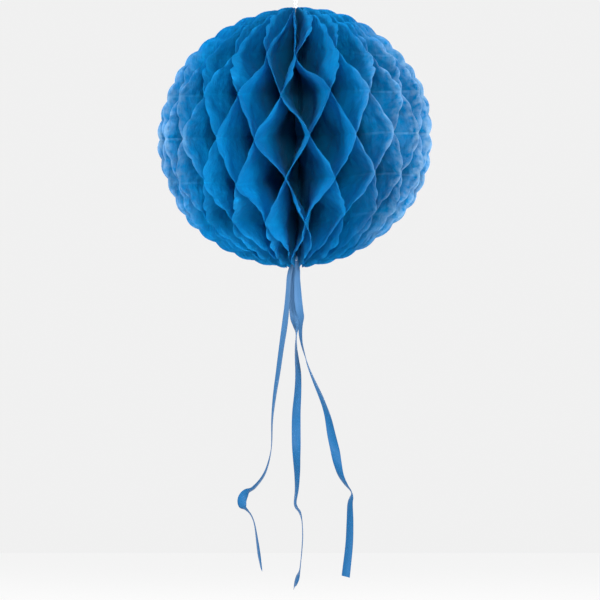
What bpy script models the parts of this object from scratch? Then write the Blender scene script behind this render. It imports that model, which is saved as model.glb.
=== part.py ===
"""Honeycomb paper ball on a thread loop, with three satin ribbons below it.

Half-discs of tissue paper are glued to each other along straight stripes,
each to one neighbour on one row and to the other neighbour on the next. They
are opened like a book round a thread until the last one meets the first, so
that every glued pair pulls apart into diamond cells. The thread runs down the
middle to a knot under the ball, which carries the paper and the ribbons.

Metres, +Z up, front towards -Y, origin where the thread loop hangs.
"""

import math

import bmesh
import bpy
from mathutils import Vector

# Paper ball
BALL_RADIUS = 0.150
BALL_HALF_HEIGHT = 0.142
SHEET_COUNT = 38
PAPER_THICKNESS = 0.0002
SCALLOPS = 20
SCALLOP_DEPTH = 0.0028
CORE_RADIUS = 0.0025

# Glue stripes, from pole to pole
PANELS = 6
GLUE_STRIPE = 0.0025
GLUE_GAP = 0.0001

# The front cells are pulled a little wider than those at the sides
FIRST_TURN = math.radians(0.8)
SPREAD = math.radians(4.0)

# Hollow in the underside where the ribbons are tied
POCKET_RADIUS = 0.0125
POCKET_WALL = 0.006
POCKET_HEIGHT = 0.018
KNOT_RADIUS = 0.0055
KNOT_HALF_HEIGHT = 0.0040
CLEARANCE = 0.0003

# Hanging thread
THREAD_RADIUS = 0.0003
STRAND_APART = 0.0018
LOOP_HEIGHT = 0.030
LOOP_WIDTH = 0.007

# Ribbons
RIBBON_WIDTH = 0.010
RIBBON_THICKNESS = 0.0004
GATHER_LENGTH = 0.012
GATHERED_SHARE = 0.45

# How finely curves are cut into flats
EDGE_STEPS = 2
THREAD_STEPS = 4
RIBBON_STEPS = 2

# Places that follow from the sizes
CROWN_Z = -LOOP_HEIGHT
CENTRE_Z = CROWN_Z - BALL_HALF_HEIGHT
BOTTOM_Z = CENTRE_Z - BALL_HALF_HEIGHT
PANEL_HEIGHT = 2 * BALL_HALF_HEIGHT / PANELS
MILLIMETRE = 0.001

# Each ribbon's course: across, depth and height below the ball in
# millimetres, and how far its face is turned from the front in degrees
LEFT_COURSE = (
    (-6.3, 0.0, -8.7, -60),
    (-7.3, -0.4, -22, -60),
    (-8.9, -1.0, -41, -57),
    (-11.3, -2.5, -62, -51),
    (-14.9, -4.5, -87, -57),
    (-18.4, -6.5, -113, -61),
    (-22.2, -8.0, -139, -69),
    (-24.8, -9.0, -165, -80),
    (-25.6, -9.5, -192, -88),
    (-28.8, -9.5, -211, -98),
    (-34.6, -9.5, -226, -108),
    (-44.8, -10.0, -238.5, -120),
    (-53.0, -11.5, -243.5, -145),
    (-57.8, -12.5, -250.5, -178),
    (-57.6, -11.5, -258.5, -210),
    (-53.4, -10.5, -262.8, -248),
    (-48.6, -10.0, -268.5, -262),
    (-45.0, -9.5, -278, -264),
    (-42.2, -8.5, -296, -256),
    (-40.0, -7.0, -312, -252),
    (-37.9, -6.0, -325.5, -262),
)
MIDDLE_COURSE = (
    (-1.6, 4.4, -8.7, 4),
    (-2.1, 4.6, -35, 6),
    (-1.4, 4.5, -52, 14),
    (0.3, 4.2, -63, 48),
    (0.4, 3.8, -72, 84),
    (0.0, 3.2, -85, 77),
    (0.9, 2.8, -98, 65),
    (2.4, 2.4, -113, 52),
    (2.5, 1.6, -127, 46),
    (1.8, -1.0, -141, 38),
    (0.8, -4.8, -156, 26),
    (0.6, -9.0, -172, 14),
    (0.7, -11.0, -190, 16),
    (0.9, -9.2, -205, 36),
    (1.4, -4.8, -222, 52),
    (0.9, -1.6, -240, 66),
    (-0.9, 0.2, -254.5, 74),
    (0.7, 0.8, -260.5, 72),
    (4.2, 1.4, -265.5, 76),
    (6.7, 2.4, -275, 88),
    (7.4, 3.0, -290, 92),
    (6.7, 2.8, -304, 92),
    (5.6, 2.0, -317, 90),
    (4.2, 1.0, -328, 84),
    (2.1, 0.2, -335, 66),
    (0.4, -0.6, -341, 66),
    (-1.0, -1.2, -347, 78),
)
RIGHT_COURSE = (
    (1.4, -2.2, -8.7, -38),
    (2.5, -2.8, -24, -36),
    (3.4, -3.2, -36, -32),
    (4.8, -3.6, -46, -36),
    (6.4, -3.9, -53, -48),
    (6.4, -4.0, -61, -66),
    (5.9, -4.1, -70, -68),
    (7.2, -4.2, -81, -77),
    (9.9, -4.3, -92, -84),
    (13.4, -4.4, -104, -96),
    (18.0, -4.3, -116, -104),
    (22.9, -4.0, -127.5, -112),
    (27.9, -3.4, -139, -118),
    (32.4, -3.0, -151, -123),
    (36.0, -4.0, -163.5, -136),
    (39.4, -8.0, -181.5, -158),
    (43.0, -12.5, -198, -180),
    (45.5, -13.5, -212, -208),
    (48.9, -12.0, -225, -230),
    (54.6, -10.0, -235.5, -248),
    (60.2, -8.5, -243, -268),
    (60.2, -8.0, -249, -294),
    (58.8, -8.2, -256.5, -305),
    (58.8, -8.6, -276, -318),
    (57.9, -8.0, -301, -326),
    (54.3, -6.5, -335, -336),
)

# How much further one corner of each ribbon's cut end reaches than the other
LEFT_SLANT = -0.007
MIDDLE_SLANT = -0.006
RIGHT_SLANT = 0.0016


def clear_scene():
    for item in list(bpy.data.objects):
        bpy.data.objects.remove(item, do_unlink=True)


def make_material(name, colour, roughness):
    material = bpy.data.materials.new(name)
    material.use_nodes = True
    shader = material.node_tree.nodes["Principled BSDF"]
    shader.inputs["Base Color"].default_value = (*colour, 1.0)
    shader.inputs["Roughness"].default_value = roughness
    shader.inputs["Metallic"].default_value = 0.0
    return material


def add_object(name, data, material, collection):
    data.materials.append(material)
    item = bpy.data.objects.new(name, data)
    collection.objects.link(item)
    return item


def mesh_of(bm, name):
    mesh = bpy.data.meshes.new(name)
    bm.to_mesh(mesh)
    bm.free()
    return mesh


def thicken(item, thickness):
    wall = item.modifiers.new("Wall", "SOLIDIFY")
    wall.thickness = thickness
    wall.offset = 0.0


def smooth_course(points, steps):
    """Points along a Catmull-Rom curve through the given ones, of any number of values each."""
    points = [Vector(point) for point in points]
    padded = [2 * points[0] - points[1], *points, 2 * points[-1] - points[-2]]
    course = []
    for before, start, end, after in zip(padded, padded[1:], padded[2:], padded[3:]):
        for step in range(steps):
            t = step / steps
            course.append(
                0.5
                * (
                    2 * start
                    + (end - before) * t
                    + (2 * before - 5 * start + 4 * end - after) * t**2
                    + (3 * start - before - 3 * end + after) * t**3
                )
            )
    course.append(points[-1])
    return course


# Tissue sheets


def scalloped_edge(angle):
    """Distance from the middle and height above the centre, at an angle from the crown."""
    lobe = abs(math.sin(SCALLOPS * angle))
    inset = SCALLOP_DEPTH * (1 - lobe)
    distance = (BALL_RADIUS - inset) * math.sin(angle)
    height = (BALL_HALF_HEIGHT - inset) * math.cos(angle)
    return distance, height


def sheet_outline():
    """The flat half-disc: its scalloped edge, then the hollow for the knot."""
    first = math.asin(CORE_RADIUS / BALL_RADIUS)
    last = math.pi - math.asin(POCKET_RADIUS / BALL_RADIUS)
    step = math.pi / (SCALLOPS * EDGE_STEPS)
    between = [turn * step for turn in range(1, SCALLOPS * EDGE_STEPS)]
    angles = [first, *(angle for angle in between if first < angle < last), last]
    outline = [scalloped_edge(angle) for angle in angles]
    outline.append((POCKET_RADIUS, POCKET_WALL - BALL_HALF_HEIGHT))
    outline.append((CORE_RADIUS, POCKET_HEIGHT - BALL_HALF_HEIGHT))
    return outline


def crease_heights():
    """Both edges of each glue stripe, and the middle of each panel."""
    heights = []
    for row in range(1, PANELS):
        stripe = row * PANEL_HEIGHT - BALL_HALF_HEIGHT
        heights += [stripe - GLUE_STRIPE / 2, stripe + GLUE_STRIPE / 2]
    for panel in range(PANELS):
        heights.append((panel + 0.5) * PANEL_HEIGHT - BALL_HALF_HEIGHT)
    return heights


def glued_side(sheet, row):
    """+1 where a sheet is glued to the next one on this row, -1 to the one before."""
    return 1 if (sheet + row) % 2 else -1


def fold_at(sheet, height):
    """The sheet's turn about the middle at a height, and its step aside from that line."""
    level = (height + BALL_HALF_HEIGHT) / PANEL_HEIGHT
    row = min(max(math.floor(level), 0), PANELS - 1)
    half_stripe = GLUE_STRIPE / PANEL_HEIGHT / 2
    share = (level - row - half_stripe) / (1 - 2 * half_stripe)
    share = min(max(share, 0.0), 1.0)
    sides = glued_side(sheet, row), glued_side(sheet, row + 1)
    side = sides[0] * (1 - share) + sides[1] * share
    turn = 2 * math.pi * (sheet + side / 2) / SHEET_COUNT + FIRST_TURN
    aside = -side * (PAPER_THICKNESS + GLUE_GAP) / 2
    return turn + SPREAD * math.sin(2 * turn), aside


def make_sheet(sheet, material, collection):
    bm = bmesh.new()
    corners = [bm.verts.new((distance, 0, height)) for distance, height in sheet_outline()]
    bm.faces.new(corners)
    for height in crease_heights():
        bmesh.ops.bisect_plane(
            bm,
            geom=[*bm.verts, *bm.edges, *bm.faces],
            plane_co=(0, 0, height),
            plane_no=(0, 0, 1),
        )
    bmesh.ops.triangulate(bm, faces=bm.faces[:])
    for corner in bm.verts:
        distance, height = corner.co.x, corner.co.z
        turn, aside = fold_at(sheet, height)
        outward = Vector((math.sin(turn), -math.cos(turn), 0))
        sideways = Vector((math.cos(turn), math.sin(turn), 0))
        corner.co = outward * distance + sideways * aside
        corner.co.z = height + CENTRE_Z
    name = f"tissue_sheet_{sheet + 1:02d}"
    item = add_object(name, mesh_of(bm, name), material, collection)
    thicken(item, PAPER_THICKNESS)


# Knot, thread and ribbons


def knot_centre():
    """Height of the knot that just clears the sloping roof of the hollow."""
    slope = Vector((POCKET_HEIGHT - POCKET_WALL, POCKET_RADIUS - CORE_RADIUS)).normalized()
    reach = math.hypot(KNOT_RADIUS * slope.x, KNOT_HALF_HEIGHT * slope.y)
    drop = (reach + CLEARANCE - CORE_RADIUS * slope.x) / slope.y
    return BOTTOM_Z + POCKET_HEIGHT - drop


def make_knot(material, collection):
    bm = bmesh.new()
    bmesh.ops.create_uvsphere(bm, u_segments=16, v_segments=8, radius=1)
    bmesh.ops.scale(bm, vec=(KNOT_RADIUS, KNOT_RADIUS, KNOT_HALF_HEIGHT), verts=bm.verts)
    bmesh.ops.translate(bm, vec=(0, 0, knot_centre()), verts=bm.verts)
    mesh = mesh_of(bm, "ribbon_knot")
    mesh.shade_smooth()
    add_object("ribbon_knot", mesh, material, collection)


def thread_course():
    """Up one strand from the knot, round the loop and down the other strand."""
    foot = knot_centre() + KNOT_HALF_HEIGHT + CLEARANCE
    near = STRAND_APART / 2
    wide = LOOP_WIDTH / 2
    top = THREAD_RADIUS
    rise = [
        (near, foot),
        (near, foot + (CENTRE_Z - foot) / 2),
        (near, CENTRE_Z),
        (near, CENTRE_Z + BALL_HALF_HEIGHT / 2),
        (near, CROWN_Z),
        (near + (wide - near) * 0.6, CROWN_Z + LOOP_HEIGHT * 0.4),
        (wide, top - wide),
        (wide * 0.7, top - wide * 0.3),
    ]
    right = [(x, 0.0, z) for x, z in rise]
    left = [(-x, 0.0, z) for x, z in reversed(rise)]
    return smooth_course([*right, (0.0, 0.0, top), *left], THREAD_STEPS)


def make_thread(material, collection):
    course = thread_course()
    curve = bpy.data.curves.new("hanging_thread", "CURVE")
    curve.dimensions = "3D"
    curve.bevel_depth = THREAD_RADIUS
    curve.bevel_resolution = 2
    curve.use_fill_caps = True
    spline = curve.splines.new("POLY")
    spline.points.add(len(course) - 1)
    for point, place in zip(spline.points, course):
        point.co = (*place, 1.0)
    add_object("hanging_thread", curve, material, collection)


def make_ribbon(name, course, slant, start_x, start_y, material, collection):
    """A strip that follows its course, gathered under the knot and cut at a slant."""
    top = knot_centre() - KNOT_HALF_HEIGHT - CLEARANCE
    start = (start_x, start_y, top, math.radians(course[0][3]))
    rest = [
        (
            x * MILLIMETRE,
            y * MILLIMETRE,
            BOTTOM_Z + z * MILLIMETRE,
            math.radians(turn),
        )
        for x, y, z, turn in course
    ]
    stations = smooth_course([start, *rest], RIBBON_STEPS)
    places = [station.to_3d() for station in stations]
    last = len(stations) - 1
    bm = bmesh.new()
    bmesh.ops.create_grid(bm, x_segments=1, y_segments=last, size=0.5)
    for corner in bm.verts:
        number = round((corner.co.y + 0.5) * last)
        turn = stations[number][3]
        along = places[min(number + 1, last)] - places[max(number - 1, 0)]
        along.normalize()
        across = Vector((math.cos(turn), math.sin(turn), 0))
        across = (across - along * across.dot(along)).normalized()
        fallen = min((top - places[number].z) / GATHER_LENGTH, 1.0)
        share = GATHERED_SHARE + (1 - GATHERED_SHARE) * max(fallen, 0.0)
        reach = slant * corner.co.x if number == last else 0.0
        corner.co = places[number] + across * corner.co.x * RIBBON_WIDTH * share + along * reach
    item = add_object(name, mesh_of(bm, name), material, collection)
    thicken(item, RIBBON_THICKNESS)


def make_ball():
    parts = bpy.data.collections.new("honeycomb_paper_ball")
    bpy.context.scene.collection.children.link(parts)
    tissue = make_material("tissue_paper", (0.0, 0.11, 0.40), 0.9)
    satin = make_material("satin_ribbon", (0.04, 0.22, 0.60), 0.35)
    nylon = make_material("clear_thread", (0.85, 0.87, 0.90), 0.25)
    for sheet in range(SHEET_COUNT):
        make_sheet(sheet, tissue, parts)
    make_knot(satin, parts)
    make_thread(nylon, parts)
    make_ribbon("ribbon_left", LEFT_COURSE, LEFT_SLANT, -0.0026, 0.0, satin, parts)
    make_ribbon("ribbon_middle", MIDDLE_COURSE, MIDDLE_SLANT, 0.0, 0.0026, satin, parts)
    make_ribbon("ribbon_right", RIGHT_COURSE, RIGHT_SLANT, 0.0022, -0.0018, satin, parts)


clear_scene()
make_ball()
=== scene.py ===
# %% [markdown]
# # A honeycomb paper ball
#
# A honeycomb ball starts as a flat stack of tissue half-discs, glued to each
# other along straight stripes. Opened like a book all the way round a thread,
# the stack becomes a ball of diamond cells. Three satin ribbons are tied below.
#
# The engineering model holds every sheet, the knot, the thread and the ribbons
# as plain solids. This script loads it as a fixed frame and makes a finer piece
# for each of them, with the finish of the real material.

import math
import random

import bmesh
import bpy
from mathutils import Matrix, Vector, noise


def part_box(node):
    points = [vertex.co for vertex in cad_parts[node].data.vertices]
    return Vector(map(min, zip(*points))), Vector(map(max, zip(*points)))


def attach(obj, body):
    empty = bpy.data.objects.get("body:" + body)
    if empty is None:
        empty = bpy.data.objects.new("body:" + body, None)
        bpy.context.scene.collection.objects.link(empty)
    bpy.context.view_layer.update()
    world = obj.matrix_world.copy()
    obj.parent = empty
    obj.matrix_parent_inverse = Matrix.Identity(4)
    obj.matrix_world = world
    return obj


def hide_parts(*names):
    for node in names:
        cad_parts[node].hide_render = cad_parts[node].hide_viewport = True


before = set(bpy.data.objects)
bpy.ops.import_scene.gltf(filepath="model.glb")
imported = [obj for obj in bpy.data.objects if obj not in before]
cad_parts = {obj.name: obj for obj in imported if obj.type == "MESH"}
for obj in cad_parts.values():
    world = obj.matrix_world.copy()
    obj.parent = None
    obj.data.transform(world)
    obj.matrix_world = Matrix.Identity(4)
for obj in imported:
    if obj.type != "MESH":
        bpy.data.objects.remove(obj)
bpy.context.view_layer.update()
MILLIMETRE = 0.001

sheets = sorted(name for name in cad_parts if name.startswith("tissue_sheet"))
print(len(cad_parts), "solids in the frame,", len(sheets), "of them tissue sheets")

# %% [markdown]
# ## The camera
#
# The picture was taken from far away: the horizon is level with the object and
# near and far cells have the same size. A long lens far back gives that. The
# width of the view at the ball sets the lens, from the sensor's width.

# %% The camera
VIEW_WIDTH = 0.6522
CAMERA_DISTANCE = 10.0
CAMERA_ACROSS = 0.0049
CAMERA_HEIGHT = -0.3485

camera_data = bpy.data.cameras.new("camera")
camera_data.sensor_fit = "HORIZONTAL"
camera_data.lens = camera_data.sensor_width * CAMERA_DISTANCE / VIEW_WIDTH
camera = bpy.data.objects.new("camera", camera_data)
camera.location = (CAMERA_ACROSS, -CAMERA_DISTANCE, CAMERA_HEIGHT)
camera.rotation_euler = (math.radians(90), 0, 0)
bpy.context.scene.collection.objects.link(camera)
bpy.context.scene.camera = camera
print("lens", round(camera_data.lens), "mm")

# %% [markdown]
# ## Writing shaders as sums
#
# A material is a graph of nodes. Building it by hand takes a lot of lines that
# say little, so two small classes do it. Finish adds any node with one method.
# Value wraps a node's output, and Python's signs on it add Math nodes: 1 - mask
# reads as it works.


# %% Helpers for materials
class Value:
    """An output of a node. Signs between values add Math nodes to the same tree."""

    def __init__(self, finish, socket):
        self.finish = finish
        self.socket = socket

    def maths(self, operation, first, second=0.0):
        return self.finish.node("Math", {"operation": operation}, {0: first, 1: second})

    def __add__(self, other):
        return self.maths("ADD", self, other)

    def __radd__(self, other):
        return self.maths("ADD", other, self)

    def __sub__(self, other):
        return self.maths("SUBTRACT", self, other)

    def __rsub__(self, other):
        return self.maths("SUBTRACT", other, self)

    def __mul__(self, other):
        return self.maths("MULTIPLY", self, other)

    def __rmul__(self, other):
        return self.maths("MULTIPLY", other, self)

    def __truediv__(self, other):
        return self.maths("DIVIDE", self, other)

    def __lt__(self, other):
        return self.maths("LESS_THAN", self, other)

    def __abs__(self):
        return self.maths("ABSOLUTE", self)

    def fraction(self):
        return self.maths("FRACT", self)


class Finish:
    """A node tree that starts empty, and one method that adds any node to it."""

    def __init__(self, owner):
        owner.use_nodes = True
        self.owner = owner
        self.tree = owner.node_tree
        self.tree.nodes.clear()

    def node(self, kind, settings=None, sockets=None, output=0):
        """Settings are set first, then each socket gets its value or its link."""
        node = self.tree.nodes.new("ShaderNode" + kind)
        for name, value in (settings or {}).items():
            setattr(node, name, value)
        for name, value in (sockets or {}).items():
            if isinstance(value, Value):
                self.tree.links.new(value.socket, node.inputs[name])
            else:
                node.inputs[name].default_value = value
        return Value(self, node.outputs[output] if node.outputs else None)

    def mix(self, share, first, second):
        """A colour between two others. The colour sockets of a Mix node are its sixth and seventh."""
        settings = {"data_type": "RGBA", "clamp_factor": True}
        return self.node("Mix", settings, {0: share, 6: first, 7: second}, output=2)

    def surface(self, shader):
        self.node("OutputMaterial", None, {"Surface": shader})
        return self.owner


def new_finish(name):
    return Finish(bpy.data.materials.new(name))


def colour(red, green, blue):
    return (red, green, blue, 1.0)


# %% [markdown]
# ## Helpers for pieces
#
# Every piece ends the same way: its mesh goes into an object, gets its finish,
# rides on the one body that the part has, and stands for its plain solid. A
# smooth line through a few chosen points is needed for the thread and for the
# ribbons. A Catmull-Rom curve passes through each point, so the points can be
# the places that were measured.


# %% Helpers for pieces
def finished(piece, material, node):
    """Links a piece, gives it its finish and lets it stand for a solid of the frame."""
    piece.data.materials.append(material)
    bpy.context.scene.collection.objects.link(piece)
    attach(piece, "root")
    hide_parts(node)
    return piece


def smooth_course(points, steps):
    """Points along a Catmull-Rom curve through the given ones, of any number of values each."""
    points = [Vector(point) for point in points]
    padded = [2 * points[0] - points[1], *points, 2 * points[-1] - points[-2]]
    course = []
    for before, start, end, after in zip(padded, padded[1:], padded[2:], padded[3:]):
        for step in range(steps):
            t = step / steps
            course.append(
                0.5
                * (
                    2 * start
                    + (end - before) * t
                    + (2 * before - 5 * start + 4 * end - after) * t**2
                    + (3 * start - before - 3 * end + after) * t**3
                )
            )
    course.append(points[-1])
    return course


def thicken(piece, thickness):
    """Gives a sheet its two faces and a closed rim that is too thin to catch light of its own."""
    wall = piece.modifiers.new("Wall", "SOLIDIFY")
    wall.thickness = thickness
    wall.offset = 0.0
    piece.modifiers.new("Even shading", "WEIGHTED_NORMAL").weight = 80


# %% [markdown]
# ## The hanging thread
#
# Clear nylon runs from the knot up the middle of the ball, makes the loop that
# the ball hangs by, and comes back down beside itself. It is pulled straight by
# the ball's weight. A curve with a round bevel is the natural tool: its spline
# is the thread's own line, so its length can be measured.

# %% The hanging thread
THREAD_RADIUS = 0.0003
STRAND_APART = 0.0018
LOOP_HEIGHT = 0.030
LOOP_WIDTH = 0.007
CLEARANCE = 0.0003

crown = -LOOP_HEIGHT
knot_low, knot_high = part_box("ribbon_knot")
thread_foot = knot_high.z + CLEARANCE
near = STRAND_APART / 2
wide = LOOP_WIDTH / 2
rise = [
    (near, thread_foot),
    (near, thread_foot + 0.06),
    (near, -0.172),
    (near, -0.101),
    (near, crown),
    (near + (wide - near) * 0.6, crown + LOOP_HEIGHT * 0.4),
    (wide, THREAD_RADIUS - wide),
    (wide * 0.7, THREAD_RADIUS - wide * 0.3),
]
right_strand = [(x, 0.0, z) for x, z in rise]
left_strand = [(-x, 0.0, z) for x, z in reversed(rise)]
thread_course = smooth_course([*right_strand, (0.0, 0.0, THREAD_RADIUS), *left_strand], 6)

nylon = new_finish("clear_nylon")
stretch_marks = nylon.node("TexNoise", None, {"Scale": 900.0, "Detail": 2.0})
nylon_shader = nylon.node(
    "BsdfPrincipled",
    None,
    {
        "Base Color": nylon.mix(stretch_marks, colour(0.80, 0.83, 0.86), colour(0.92, 0.93, 0.95)),
        "Roughness": 0.04 + stretch_marks * 0.1,
        "Transmission Weight": 0.95,
        "IOR": 1.53,
    },
)

thread_curve = bpy.data.curves.new("hanging_thread_line", "CURVE")
thread_curve.dimensions = "3D"
thread_curve.bevel_depth = THREAD_RADIUS
thread_curve.bevel_resolution = 3
thread_curve.use_fill_caps = True
thread_line = thread_curve.splines.new("POLY")
thread_line.points.add(len(thread_course) - 1)
for point, place in zip(thread_line.points, thread_course):
    point.co = (*place, 1.0)
thread = bpy.data.objects.new("thread_loop", thread_curve)
finished(thread, nylon.surface(nylon_shader), "hanging_thread")
measured = sum((b - a).length for a, b in zip(thread_course, thread_course[1:]))
print("thread", round(measured, 3), "m long")

# %% [markdown]
# ## One flat sheet
#
# All the sheets are cut from the same pattern: a half-disc with a scalloped
# edge, and a small hollow at the foot for the knot. A circle is pushed into
# scallops, an inset gives it a narrow border along the cut, and bisect_plane
# slices it into rows and columns, because flat paper needs points where it
# bends. Two straight slices mark the hollow, and the faces inside are deleted.

# %% One flat sheet
BALL_RADIUS = 0.150
BALL_HALF_HEIGHT = 0.142
SCALLOPS = 20
SCALLOP_DEPTH = 0.0028
SCALLOP_STEPS = 6
CORE_RADIUS = 0.0016
PANELS = 6
GLUE_STRIPE = 0.0025
PANEL_HEIGHT = 2 * BALL_HALF_HEIGHT / PANELS
ROWS_A_PANEL = 14
COLUMN_WIDTH = 0.0036
CUT_BORDER = 0.0012
POCKET_RADIUS = 0.0125
POCKET_WALL = 0.006
POCKET_HEIGHT = 0.018


def scalloped(angle):
    """A point of the cut edge, at an angle from the crown."""
    inset = SCALLOP_DEPTH * (1 - abs(math.sin(SCALLOPS * angle)))
    distance = (BALL_RADIUS - inset) * math.sin(angle)
    return Vector((distance, 0, (BALL_HALF_HEIGHT - inset) * math.cos(angle)))


def slice_sheet(bm, place, direction, keep_outside=False):
    bmesh.ops.bisect_plane(
        bm,
        geom=[*bm.verts, *bm.edges, *bm.faces],
        plane_co=place,
        plane_no=direction,
        clear_inner=keep_outside,
    )


def row_heights():
    """Both sides of each glue stripe, and even steps over the panels between them."""
    heights = []
    free = PANEL_HEIGHT - GLUE_STRIPE
    for panel in range(PANELS):
        foot = panel * PANEL_HEIGHT + GLUE_STRIPE / 2 - BALL_HALF_HEIGHT
        heights += [foot + free * step / ROWS_A_PANEL for step in range(ROWS_A_PANEL + 1)]
    return heights


bm = bmesh.new()
bmesh.ops.create_circle(
    bm, cap_ends=True, radius=1, segments=2 * SCALLOPS * SCALLOP_STEPS
)
for corner in bm.verts:
    turn = math.atan2(corner.co.x, corner.co.y)
    corner.co = scalloped(turn)
bmesh.ops.inset_region(bm, faces=bm.faces[:], thickness=CUT_BORDER, use_even_offset=True)
slice_sheet(bm, (CORE_RADIUS, 0, 0), (1, 0, 0), keep_outside=True)
for height in row_heights():
    slice_sheet(bm, (0, 0, height), (0, 0, 1))
for column in range(1, int(BALL_RADIUS / COLUMN_WIDTH)):
    slice_sheet(bm, (column * COLUMN_WIDTH, 0, 0), (1, 0, 0))

pocket_side = Vector((POCKET_RADIUS, 0, POCKET_WALL - BALL_HALF_HEIGHT))
pocket_top = Vector((CORE_RADIUS, 0, POCKET_HEIGHT - BALL_HALF_HEIGHT))
roof = (pocket_top - pocket_side).cross((0, 1, 0)).normalized()
slice_sheet(bm, pocket_side, (1, 0, 0))
slice_sheet(bm, pocket_side, roof)
inside = [
    face
    for face in bm.faces
    if face.calc_center_median().x < POCKET_RADIUS
    and (face.calc_center_median() - pocket_side).dot(roof) * roof.z < 0
]
bmesh.ops.delete(bm, geom=inside, context="FACES")
bmesh.ops.remove_doubles(bm, verts=bm.verts[:], dist=0.00005)
bmesh.ops.triangulate(bm, faces=[face for face in bm.faces if len(face.verts) > 4])
print("flat sheet:", len(bm.verts), "points,", len(bm.faces), "faces")

# %% [markdown]
# ## Marks that stay on the paper
#
# The finish needs to know where it is on the sheet: how far out, how high, and
# whether it is at the cut edge. Those are taken while the sheet is still flat,
# as a UV map in thirds of a metre and a number on each point, so that they
# follow the paper through every fold.

# %% Marks that stay on the paper
MAP_SIZE = 0.3

flat_map = bm.loops.layers.uv.new("flat")
for face in bm.faces:
    for loop in face.loops:
        place = loop.vert.co
        loop[flat_map].uv = (place.x / MAP_SIZE, (place.z + BALL_HALF_HEIGHT) / MAP_SIZE)

cut_edge = bm.verts.layers.float.new("cut_edge")
from_cut = bm.verts.layers.float.new("from_cut")
for corner in bm.verts:
    turn = math.atan2(corner.co.x / BALL_RADIUS, corner.co.z / BALL_HALF_HEIGHT)
    inwards = max(scalloped(turn).length - corner.co.length, 0.0)
    corner[cut_edge] = 1.0 if inwards < CUT_BORDER / 2 else 0.0
    corner[from_cut] = inwards

flat_sheet = bpy.data.meshes.new("flat_sheet")
bm.to_mesh(flat_sheet)
bm.free()
flat_sheet.shade_smooth()
print("points on the cut:", sum(1 for v in flat_sheet.attributes["cut_edge"].data if v.value > 0))

# %% [markdown]
# ## Folding a sheet into the ball
#
# On each glue row a sheet is held by one neighbour or by the other, in turn,
# and between two rows it crosses over. So a point's height alone says which way
# round the middle it goes. Real tissue adds three things: a panel bows a
# little, it crinkles along its length, and its free edge flutters. All three
# fade to nothing on the glue, so glued sheets still meet.

# %% Folding a sheet
FIRST_TURN = math.radians(0.8)
SPREAD = math.radians(4.0)
GLUED_APART = 0.00018
EASE = 0.12
BOW = math.radians(0.7)
CRINKLE = 0.0008
BUCKLE = 0.0022
CRUMPLE = 0.0011
FLUTTER = 0.0011
FLUTTER_REACH = 0.012


def glued_side(sheet, row):
    """+1 where a sheet is glued to the next one on this row, -1 to the one before."""
    return 1 if (sheet + row) % 2 else -1


def place_in_panel(height):
    """The glue row below a height, and how far it is from there to the row above."""
    level = (height + BALL_HALF_HEIGHT) / PANEL_HEIGHT
    row = min(max(math.floor(level), 0), PANELS - 1)
    stripe = GLUE_STRIPE / PANEL_HEIGHT / 2
    share = (level - row - stripe) / (1 - 2 * stripe)
    return row, min(max(share, 0.0), 1.0)


def folded(sheet, bows, distance, height):
    """Where a point of the flat sheet goes, about the middle of the ball."""
    row, share = place_in_panel(height)
    free = math.sin(math.pi * share)
    eased = share - EASE * math.sin(2 * math.pi * share) / (2 * math.pi)
    below, above = glued_side(sheet, row), glued_side(sheet, row + 1)
    side = below + (above - below) * eased

    turn = 2 * math.pi * (sheet + side / 2) / len(sheets) + FIRST_TURN
    turn += SPREAD * math.sin(2 * turn) + BOW * bows[row] * free

    crinkle = noise.noise((distance / 0.008, height / 0.045, sheet * 3.7))
    buckle = noise.noise((distance / 0.022, height / 0.018, sheet * 2.9 + 20))
    flutter = noise.noise((height / 0.007, distance / 0.02, sheet * 5.3 + 40))
    inwards = BALL_RADIUS - math.hypot(distance, height * BALL_RADIUS / BALL_HALF_HEIGHT)
    loose = min(max(1 - inwards / FLUTTER_REACH, 0.0), 1.0)
    aside = -side * GLUED_APART / 2
    crumple = noise.noise((distance / 0.006, height / 0.006, sheet * 1.9 + 60))
    creased = CRINKLE * crinkle + BUCKLE * buckle + CRUMPLE * crumple
    aside += creased * free * min(distance / 0.03, 1.0)
    aside += FLUTTER * flutter * free * loose

    outward = Vector((math.sin(turn), -math.cos(turn), 0))
    sideways = Vector((math.cos(turn), math.sin(turn), 0))
    return outward * distance + sideways * aside + Vector((0, 0, height))


# %% [markdown]
# ## The whole ball leans
#
# Nobody opens such a ball perfectly. Its right side hangs a little higher, some
# joints are pulled out of line, and half way in the paper sways to one side or
# the other. Close to the thread the sheets are bound, so they wind round it a
# little and hide it. If each sheet were moved by itself, glued sheets would
# part. So one smooth field moves everything: two points that touch get the same
# push. The joints that were pulled are listed by glue row, from the crown down:
# a sheet, then how far its joint went across and up, in millimetres.

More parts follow.
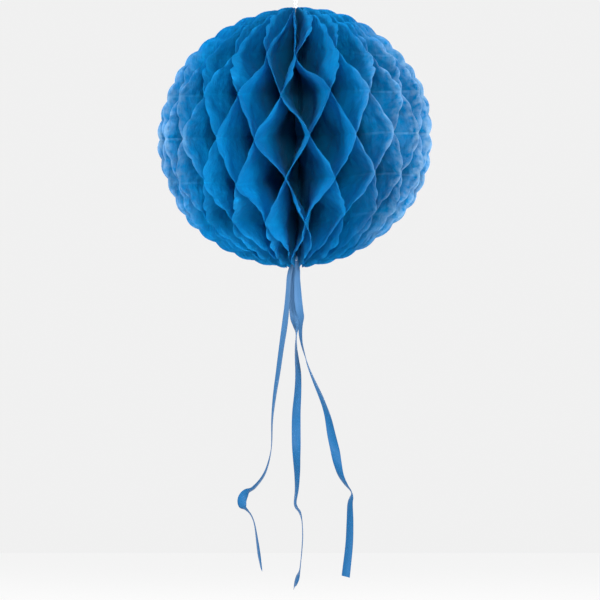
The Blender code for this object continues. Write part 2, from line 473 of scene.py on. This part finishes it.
# %% The whole ball leans
CENTRE_Z = crown - BALL_HALF_HEIGHT
LEAN = math.tan(math.radians(1.2))
UNEVEN = 0.0016
UNEVEN_LENGTH = 0.055
SWAY = math.radians(9)
SWAY_LENGTH = 0.06
WINDING = math.radians(50)
WINDING_REACH = 0.035
PULL_REACH = 0.022
PULL_DEPTH = 0.050
PULLED_JOINTS = {
    5: (
        (32, -4.4, -4.2),
        (34, -6.9, -4.5),
        (36, 6.7, -3.2),
        (0, -8.0, -10.0),
        (2, 0.8, 0.7),
        (4, 3.3, -5.6),
        (6, 3.6, -5.5),
    ),
    4: ((33, 1.7, -0.7), (35, 0.5, 0.5), (37, -7.0, -4.0), (1, -3.8, 1.0), (3, -5.3, 1.5), (5, -1.8, -1.1)),
    3: ((34, 1.6, -0.9), (36, -5.9, -3.2), (2, -2.0, -0.5), (4, -1.2, 1.0), (6, -1.4, 1.0)),
    2: ((33, 1.3, -0.5), (35, -2.4, -4.5), (37, -0.1, 1.7), (1, 1.5, 0.0), (3, -0.4, 4.2), (5, -2.2, 3.5)),
    1: (
        (32, -2.4, 2.0),
        (34, -1.8, 4.6),
        (36, 1.5, -1.2),
        (0, 0.5, -0.7),
        (2, 6.7, 7.1),
        (4, -0.9, 4.4),
        (6, 6.1, 6.1),
    ),
}


def joint_place(sheet, row):
    """The outer end of the glue between a sheet and the next, before the ball leans."""
    height = row * PANEL_HEIGHT - BALL_HALF_HEIGHT
    rim = BALL_RADIUS * math.sqrt(1 - (height / BALL_HALF_HEIGHT) ** 2)
    return folded(sheet, [0] * PANELS, rim, height)


pulls = [
    (joint_place(sheet, row), Vector((across, 0, up)) * MILLIMETRE)
    for row, joints in PULLED_JOINTS.items()
    for sheet, across, up in joints
]
print(len(pulls), "pulled joints")


def drift(place):
    """A smooth random direction. Each of its numbers reads the noise at a place far from the others."""
    where = place / UNEVEN_LENGTH
    return Vector([noise.noise(where + Vector((far, 0, 0))) for far in (0, 31, 67)])


def leaned(place):
    """The place of a point in the leaning, uneven ball."""
    distance = math.hypot(place.x, place.y)
    held = min(distance / 0.04, 1.0)
    push = drift(place) * UNEVEN * held
    for joint, pull in pulls:
        across, back, up = place - joint
        away = (across * across + up * up) / PULL_REACH**2 + (back / PULL_DEPTH) ** 2
        if away < 9:
            push += pull * math.exp(-away / 2)
    inside = math.sin(math.pi * min(distance / BALL_RADIUS, 1.0))
    turned = SWAY * inside * noise.noise(place / SWAY_LENGTH + Vector((7, 3, 5)))
    between_poles = max(1 - (place.z / BALL_HALF_HEIGHT) ** 2, 0.0)
    turned += WINDING * between_poles * max(1 - distance / WINDING_REACH, 0.0) ** 2
    wound = Matrix.Rotation(turned, 3, "Z") @ place
    return wound + push + Vector((0, 0, place.x * LEAN + CENTRE_Z))


# %% [markdown]
# ## Tissue paper
#
# Tissue is dyed right through, matt, and thin enough to glow when lit from
# behind. A Principled shader with high roughness gives the matt face, its sheen
# gives the pale bloom of loose fibres at a grazing view, and a Translucent
# shader mixed in lets light through. Noise stretched along the sheet shows the
# fibres, and the glued stripes are a little lighter. Light and shade are also
# painted into the colour: painted shade darkens the paper deep in the cells, a
# painted lighter band runs along each cut edge, and painted pale light frosts
# the left and right sides of the ball, with painted highlights on the cut edges
# and glued stripes there.

# %% Tissue paper
# How far from the cut edge the painted edge light reaches, and where the painted shade inside the cells
# begins and is full.
EDGE_LIGHT_BAND = 0.012
DEPTH_SHADE_FROM = 0.020
DEPTH_SHADE_TO = 0.055

tissue = new_finish("blue_tissue")
in_ball = tissue.node("TexCoord", None, None, output="Object")
across_ball = tissue.node("SeparateXYZ", None, {0: in_ball})
flat_place = tissue.node("UVMap", {"uv_map": "flat"})
height_on_map = tissue.node("SeparateXYZ", None, {0: flat_place}, output=1)
panel_level = height_on_map * (MAP_SIZE / PANEL_HEIGHT)
from_row = abs((panel_level + 0.5).fraction() - 0.5)
glued = from_row < GLUE_STRIPE / PANEL_HEIGHT / 2

stretched = tissue.node("Mapping", None, {"Vector": flat_place, "Scale": (260.0, 30.0, 1.0)})
fibres = tissue.node("TexNoise", None, {"Vector": stretched, "Scale": 1.0, "Detail": 4.0})
clouds = tissue.node("TexNoise", None, {"Vector": flat_place, "Scale": 45.0, "Detail": 3.0})
crumple = tissue.node("TexNoise", None, {"Vector": flat_place, "Scale": 32.0, "Detail": 2.5})
mottle = tissue.node("TexNoise", None, {"Vector": in_ball, "Scale": 130.0, "Detail": 2.0})
at_cut = tissue.node("Attribute", {"attribute_name": "cut_edge"}, None, output="Fac")
from_cut_edge = tissue.node("Attribute", {"attribute_name": "from_cut"}, None, output="Fac")
# Painted light: a band along the cut edge is lighter, where light catches the outer paper.
painted_edge_light = from_cut_edge.maths("MAXIMUM", 1 - from_cut_edge / EDGE_LIGHT_BAND, 0.0)
# Painted light: pale frosting on the left and right sides of the ball, set by the place across the ball.
right_side_light = (across_ball - 0.06) / 0.08
left_side_light = (-0.100 - across_ball) / 0.065
painted_side_light = right_side_light.maths("MAXIMUM", right_side_light, left_side_light)
painted_side_light = painted_side_light.maths("MAXIMUM", painted_side_light, 0.0)

tissue_colour = tissue.mix(clouds + fibres * 1.5 - 0.75, colour(0.0, 0.145, 0.38), colour(0.0, 0.260, 0.57))
# Painted shade: deep inside the cells, far from the cut edge, the paper is darker.
painted_depth_shade = (from_cut_edge - DEPTH_SHADE_FROM) / (DEPTH_SHADE_TO - DEPTH_SHADE_FROM)
painted_depth_shade = painted_depth_shade.maths("MINIMUM", painted_depth_shade.maths("MAXIMUM", painted_depth_shade, 0.0), 1.0)
tissue_colour = tissue.mix(painted_depth_shade * 0.7, tissue_colour, colour(0.0, 0.145, 0.29))
# The painted lighter band along the cut edge, broken up by crumple noise.
tissue_colour = tissue.mix(painted_edge_light * (crumple - 0.3), tissue_colour, colour(0.02, 0.28, 0.60))
# The painted pale side light, in patches, strongest in the band along the cut.
tissue_colour = tissue.mix(painted_side_light * (0.15 + painted_edge_light * 0.65) * (mottle * 4 - 1.3), tissue_colour, colour(0.28, 0.48, 0.64))
# The glued stripes are lighter, less so inside the painted shade.
tissue_colour = tissue.mix(glued * (1 - painted_depth_shade) * 0.25, tissue_colour, colour(0.0, 0.28, 0.62))
# Painted highlights: pale lines on the cut edges and glued stripes, only in the painted side light.
tissue_colour = tissue.mix((glued * 0.35 + at_cut * 1.1) * painted_side_light * crumple * 1.3, tissue_colour, colour(0.30, 0.55, 0.76))
relief = tissue.node(
    "Bump",
    None,
    {"Height": fibres * 0.2 + crumple * 0.8, "Strength": 0.8, "Distance": 0.0040},
)
face_shader = tissue.node(
    "BsdfPrincipled",
    None,
    {
        "Base Color": tissue_colour,
        "Roughness": 0.8,
        "Specular IOR Level": 0.08,
        "Sheen Weight": 0.06,
        "Sheen Roughness": 0.3,
        "Sheen Tint": colour(0.3, 0.65, 1.0),
        "Normal": relief,
    },
)
glow = tissue.node("BsdfTranslucent", None, {"Color": colour(0.0, 0.36, 0.64)})
tissue_shader = tissue.node("MixShader", None, {0: 0.42, 1: face_shader, 2: glow})
blue_tissue = tissue.surface(tissue_shader)
print("tissue finish:", len(tissue.tree.nodes), "nodes")

# %% [markdown]
# ## The sheets of the ball
#
# Now the flat sheet is copied once for each solid sheet of the frame, folded,
# leaned and given its thickness. A seeded random draw says how far each panel
# bows, so the ball is the same on every run.

# %% The sheets of the ball
PAPER_THICKNESS = 0.00012

draw = random.Random(11)
for sheet, node in enumerate(sheets):
    mesh = flat_sheet.copy()
    mesh.name = f"folded_sheet_{sheet + 1:02d}"
    bows = [draw.uniform(-1, 1) for _ in range(PANELS)]
    for corner in mesh.vertices:
        corner.co = leaned(folded(sheet, bows, corner.co.x, corner.co.z))
    piece = bpy.data.objects.new(f"folded_sheet_{sheet + 1:02d}", mesh)
    thicken(piece, PAPER_THICKNESS)
    finished(piece, blue_tissue, node)
print(len(sheets), "sheets of", len(flat_sheet.polygons), "faces before their thickness")

# %% [markdown]
# ## Satin ribbon
#
# Satin is woven so that most threads float along the ribbon. It has a soft
# shine along its length and fine cross ribs. The weave is drawn in the ribbon's
# own map, in ribs a third of a millimetre apart, and the two woven borders are
# a little denser. A painted sheen makes each ribbon paler towards its top, near
# the ball.

# %% Satin ribbon finish
RIBBON_WIDTH = 0.010
RIB = 0.00035
TOP_SHEEN_LENGTH = 0.18

satin = new_finish("blue_satin")
ribbon_place = satin.node("UVMap", {"uv_map": "strip"})
across_strip = satin.node("SeparateXYZ", None, {0: ribbon_place})
along_strip = satin.node("SeparateXYZ", None, {0: ribbon_place}, output=1)
floats = satin.node("Mapping", None, {"Vector": ribbon_place, "Scale": (2600.0, 90.0, 1.0)})
float_noise = satin.node("TexNoise", None, {"Vector": floats, "Scale": 1.0, "Detail": 3.0})
rib_line = abs((along_strip / RIB).fraction() - 0.5) * 2
border = 0.0012 > RIBBON_WIDTH / 2 - abs(across_strip)
ribbon_colour = satin.mix(float_noise, colour(0.004, 0.062, 0.160), colour(0.010, 0.080, 0.200))
ribbon_colour = satin.mix(border * 0.25, ribbon_colour, colour(0.003, 0.052, 0.135))
# Painted sheen: the colour is paler towards the top of each ribbon, and on the knot.
painted_top_sheen = 1 - along_strip / TOP_SHEEN_LENGTH
ribbon_colour = satin.mix(painted_top_sheen * 0.4, ribbon_colour, colour(0.120, 0.220, 0.370))
weave = satin.node(
    "Bump",
    None,
    {"Height": rib_line * 0.4 + float_noise * 0.6, "Strength": 0.25, "Distance": 0.0001},
)
satin_shader = satin.node(
    "BsdfPrincipled",
    None,
    {
        "Base Color": ribbon_colour,
        "Roughness": 0.38 + float_noise * 0.12,
        "Specular IOR Level": 0.1,
        "Sheen Weight": 0.12,
        "Sheen Roughness": 0.3,
        "Sheen Tint": colour(0.75, 0.80, 1.0),
        "Normal": weave,
    },
)
blue_satin = satin.surface(satin_shader)
print("satin finish:", len(satin.tree.nodes), "nodes")

# %% [markdown]
# ## The ribbons
#
# A ribbon is stiff across and limp along, so each one is a strip laid on its
# own line of measured places, with a turn that says which way its face looks.
# Each place is across, depth and height below the ball in millimetres, then the
# turn in degrees. A fine grid is moved onto that line, slightly cupped as satin
# is, and narrowed where it is gathered into the knot.

# %% Where the ribbons hang
LEFT_COURSE = (
    (-6.3, 0.0, -8.7, -60),
    (-7.3, -0.4, -22, -60),
    (-8.9, -1.0, -41, -57),
    (-11.3, -2.5, -62, -51),
    (-14.9, -4.5, -87, -57),
    (-18.4, -6.5, -113, -61),
    (-22.2, -8.0, -139, -69),
    (-24.8, -9.0, -165, -80),
    (-25.6, -9.5, -192, -88),
    (-28.8, -9.5, -211, -98),
    (-34.6, -9.5, -226, -108),
    (-44.8, -10.0, -238.5, -120),
    (-53.0, -11.5, -243.5, -145),
    (-57.8, -12.5, -250.5, -178),
    (-57.6, -11.5, -258.5, -210),
    (-53.4, -10.5, -262.8, -248),
    (-48.6, -10.0, -268.5, -262),
    (-45.0, -9.5, -278, -264),
    (-42.2, -8.5, -296, -256),
    (-40.0, -7.0, -312, -252),
    (-37.9, -6.0, -325.5, -262),
)
MIDDLE_COURSE = (
    (-1.6, 4.4, -8.7, 4),
    (-2.1, 4.6, -35, 6),
    (-1.4, 4.5, -52, 14),
    (0.3, 4.2, -63, 48),
    (0.4, 3.8, -72, 84),
    (0.0, 3.2, -85, 77),
    (0.9, 2.8, -98, 65),
    (2.4, 2.4, -113, 52),
    (2.5, 1.6, -127, 46),
    (1.8, -1.0, -141, 38),
    (0.8, -4.6, -156, 26),
    (0.6, -9.0, -172, 14),
    (0.7, -11.0, -190, 16),
    (0.9, -9.2, -205, 36),
    (1.4, -4.8, -222, 52),
    (0.9, -1.6, -240, 66),
    (-0.9, 0.2, -254.5, 74),
    (0.7, 0.8, -260.5, 72),
    (4.2, 1.4, -265.5, 76),
    (6.7, 2.4, -275, 88),
    (7.4, 3.0, -290, 92),
    (6.7, 2.8, -304, 92),
    (5.6, 2.0, -317, 90),
    (4.2, 1.0, -328, 84),
    (2.1, 0.2, -335, 66),
    (0.4, -0.6, -341, 66),
    (-1.0, -1.2, -347, 78),
)
RIGHT_COURSE = (
    (1.4, -2.2, -8.7, -38),
    (2.5, -2.8, -24, -36),
    (3.4, -3.2, -36, -32),
    (4.8, -3.6, -46, -36),
    (6.4, -3.9, -53, -48),
    (6.4, -4.0, -61, -66),
    (5.9, -4.1, -70, -68),
    (7.2, -4.2, -81, -77),
    (9.9, -4.3, -92, -84),
    (13.4, -4.4, -104, -96),
    (18.0, -4.3, -116, -104),
    (22.9, -4.0, -127.5, -112),
    (27.9, -3.4, -139, -118),
    (32.4, -3.0, -151, -123),
    (36.0, -4.0, -163.5, -136),
    (39.4, -8.0, -181.5, -158),
    (43.0, -12.5, -198, -180),
    (45.5, -13.5, -212, -208),
    (48.9, -12.0, -225, -230),
    (54.6, -10.0, -235.5, -248),
    (60.2, -8.5, -243, -268),
    (60.2, -8.0, -249, -294),
    (58.8, -8.2, -256.5, -305),
    (58.8, -8.6, -276, -318),
    (57.9, -8.0, -301, -326),
    (54.3, -6.5, -335, -336),
)

# %% The ribbons
BOTTOM_Z = CENTRE_Z - BALL_HALF_HEIGHT
RIBBON_THICKNESS = 0.0003
RIBBON_STEPS = 6
RIBBON_COLUMNS = 10
CUP = math.radians(14)
GATHER_LENGTH = 0.012
GATHERED_SHARE = 0.45
CUT_REACH = 0.010
ribbon_top = knot_low.z - CLEARANCE


def cupped(share):
    """Across and out of a cupped strip's middle, for a share from -1 to 1 of its half width."""
    bend = RIBBON_WIDTH / 2 / CUP
    return bend * math.sin(CUP * share), bend * (1 - math.cos(CUP * share))


def make_ribbon(name, node, course, slant, start_x, start_y):
    """A strip along its course. One corner of its cut end reaches further by the slant."""
    start = (start_x, start_y, ribbon_top, math.radians(course[0][3]))
    rest = [
        (
            x * MILLIMETRE,
            y * MILLIMETRE,
            BOTTOM_Z + z * MILLIMETRE,
            math.radians(turn),
        )
        for x, y, z, turn in course
    ]
    stations = smooth_course([start, *rest], RIBBON_STEPS)
    places = [station.to_3d() for station in stations]
    reach = [0.0]
    for a, b in zip(places, places[1:]):
        reach.append(reach[-1] + (b - a).length)
    last = len(stations) - 1

    bm = bmesh.new()
    bmesh.ops.create_grid(bm, x_segments=RIBBON_COLUMNS, y_segments=last, size=0.5)
    strip = bm.loops.layers.uv.new("strip")
    for face in bm.faces:
        for loop in face.loops:
            number = round((loop.vert.co.y + 0.5) * last)
            loop[strip].uv = (loop.vert.co.x * RIBBON_WIDTH, reach[number])
    for corner in bm.verts:
        number = round((corner.co.y + 0.5) * last)
        turn = stations[number][3]
        along = places[min(number + 1, last)] - places[max(number - 1, 0)]
        along.normalize()
        across = Vector((math.cos(turn), math.sin(turn), 0))
        across = (across - along * across.dot(along)).normalized()
        facing = along.cross(across)
        fallen = min(reach[number] / GATHER_LENGTH, 1.0)
        share = GATHERED_SHARE + (1 - GATHERED_SHARE) * fallen
        sideways, out = cupped(corner.co.x * 2)
        near_cut = max(1 - (reach[last] - reach[number]) / CUT_REACH, 0.0)
        further = along * slant * corner.co.x * near_cut
        corner.co = places[number] + (across * sideways + facing * out) * share + further
    mesh = bpy.data.meshes.new(name)
    bm.to_mesh(mesh)
    bm.free()
    mesh.shade_smooth()
    piece = bpy.data.objects.new(name, mesh)
    thicken(piece, RIBBON_THICKNESS)
    finished(piece, blue_satin, node)
    print(name, round(reach[-1], 3), "m long")


make_ribbon("left_ribbon", "ribbon_left", LEFT_COURSE, -0.007, -0.0026, 0.0)
make_ribbon("middle_ribbon", "ribbon_middle", MIDDLE_COURSE, -0.006, 0.0, 0.0026)
make_ribbon("right_ribbon", "ribbon_right", RIGHT_COURSE, 0.0016, 0.0022, -0.0018)

# %% [markdown]
# ## The knot
#
# The three ribbons and the thread are tied together in the hollow under the
# ball. Only the hollow's mouth shows it. The knot is a ball of folded satin, so
# a sphere squeezed to the solid's size gets spiral grooves, as ribbon wound
# round itself has.

# %% The knot
WRAPS = 5
WRAP_DEPTH = 0.12

knot_middle = (knot_low + knot_high) / 2
knot_half = (knot_high - knot_low) / 2
bm = bmesh.new()
bmesh.ops.create_uvsphere(bm, u_segments=60, v_segments=30, radius=1)
strip = bm.loops.layers.uv.new("strip")
for face in bm.faces:
    for loop in face.loops:
        turn = math.atan2(loop.vert.co.y, loop.vert.co.x)
        loop[strip].uv = (loop.vert.co.z * 0.004, turn * 0.005)
for corner in bm.verts:
    turn = math.atan2(corner.co.y, corner.co.x)
    wave = math.sin(WRAPS * turn + 4 * corner.co.z)
    groove = 1 - WRAP_DEPTH * (1 - wave) / 2 * (1 - abs(corner.co.z) ** 3)
    corner.co = knot_middle + Vector(
        (
            corner.co.x * knot_half.x * groove,
            corner.co.y * knot_half.y * groove,
            corner.co.z * knot_half.z,
        )
    )
knot_mesh = bpy.data.meshes.new("wrapped_knot")
bm.to_mesh(knot_mesh)
bm.free()
knot_mesh.shade_smooth()
knot = bpy.data.objects.new("wrapped_knot", knot_mesh)
finished(knot, blue_satin, "ribbon_knot")
print("knot", [round(2000 * size, 1) for size in knot_half], "mm")

# %% [markdown]
# ## Floor, background and light
#
# The ball hangs in front of a pale grey background over a floor of the same
# colour. The floor takes light and shadow, but part of its colour is only for
# the camera, which keeps it even. Two large soft lamps stand left and right of
# the camera and a third hangs above, so every petal has a light side and the
# cells stay deep.

# %% Floor and background
PALE = 0.875
FLOOR_PALE = 0.94
FLOOR_Z = -0.70
FLOOR_BACK = 2.78
FLOOR_FRONT = -16.0
FLOOR_SIDE = 12.0

floor_finish = new_finish("pale_floor")
floor_noise = floor_finish.node("TexNoise", None, {"Scale": 3.0, "Detail": 2.0})
floor_tone = floor_finish.mix(floor_noise, colour(0.80, 0.80, 0.80), colour(0.83, 0.83, 0.83))
lit_floor = floor_finish.node("BsdfPrincipled", None, {"Base Color": floor_tone, "Roughness": 0.8})
even_tone = colour(FLOOR_PALE, FLOOR_PALE, FLOOR_PALE)
even_floor = floor_finish.node("Emission", None, {"Color": even_tone, "Strength": 1.0})
seen = floor_finish.node("LightPath", None, None, output="Is Camera Ray")
floor_shader = floor_finish.node("MixShader", None, {0: seen * 0.9, 1: lit_floor, 2: even_floor})

bm = bmesh.new()
bmesh.ops.create_grid(bm, x_segments=1, y_segments=1, size=1)
for corner in bm.verts:
    depth = FLOOR_BACK if corner.co.y > 0 else FLOOR_FRONT
    corner.co = (corner.co.x * FLOOR_SIDE, depth, FLOOR_Z)
floor_mesh = bpy.data.meshes.new("floor")
bm.to_mesh(floor_mesh)
bm.free()
floor = bpy.data.objects.new("floor", floor_mesh)
floor.data.materials.append(floor_finish.surface(floor_shader))
bpy.context.scene.collection.objects.link(floor)

WORLD_LIGHT = 0.5
world = Finish(bpy.data.worlds.new("studio"))
bpy.context.scene.world = world.owner
pale = world.node("Background", None, {"Color": colour(PALE, PALE, PALE), "Strength": 1.0})
ambient = world.node("Background", None, {"Color": colour(1, 1, 1), "Strength": WORLD_LIGHT})
camera_ray = world.node("LightPath", None, None, output="Is Camera Ray")
glossy_ray = world.node("LightPath", None, None, output="Is Glossy Ray")
clear_ray = world.node("LightPath", None, None, output="Is Transmission Ray")
shown = camera_ray + glossy_ray + clear_ray
backdrop = world.node("MixShader", None, {0: shown, 1: ambient, 2: pale})
world.node("OutputWorld", None, {"Surface": backdrop})
print("world and floor ready")


# %% Lamps
def add_lamp(name, place, size, power):
    """A soft square lamp that faces the middle of the ball."""
    lamp = bpy.data.lights.new(name, "AREA")
    lamp.size = size
    lamp.energy = power
    lamp_object = bpy.data.objects.new(name, lamp)
    lamp_object.location = place
    aim = Vector((0, 0, CENTRE_Z)) - Vector(place)
    lamp_object.rotation_euler = aim.to_track_quat("-Z", "Y").to_euler()
    bpy.context.scene.collection.objects.link(lamp_object)
    return lamp_object


add_lamp("left_lamp", (-2.3, -2.6, 0.4), 1.2, 138)
add_lamp("right_lamp", (2.3, -2.6, -0.3), 1.2, 122)
add_lamp("front_lamp", (0.3, -4.8, 1.2), 1.0, 165)
back_left_lamp = add_lamp("back_left_lamp", (-2.0, 2.9, 0.8), 1.4, 14)
back_right_lamp = add_lamp("back_right_lamp", (2.2, 2.7, 0.5), 1.4, 14)
for lamp_object in (back_left_lamp, back_right_lamp):
    lamp_object.data.spread = math.radians(50)
    lamp_object.visible_glossy = False
bpy.context.scene.view_settings.view_transform = "Standard"
print("five lamps")

# %% [markdown]
#
# The finished pieces have to stay where the solids are.

bpy.context.view_layer.update()
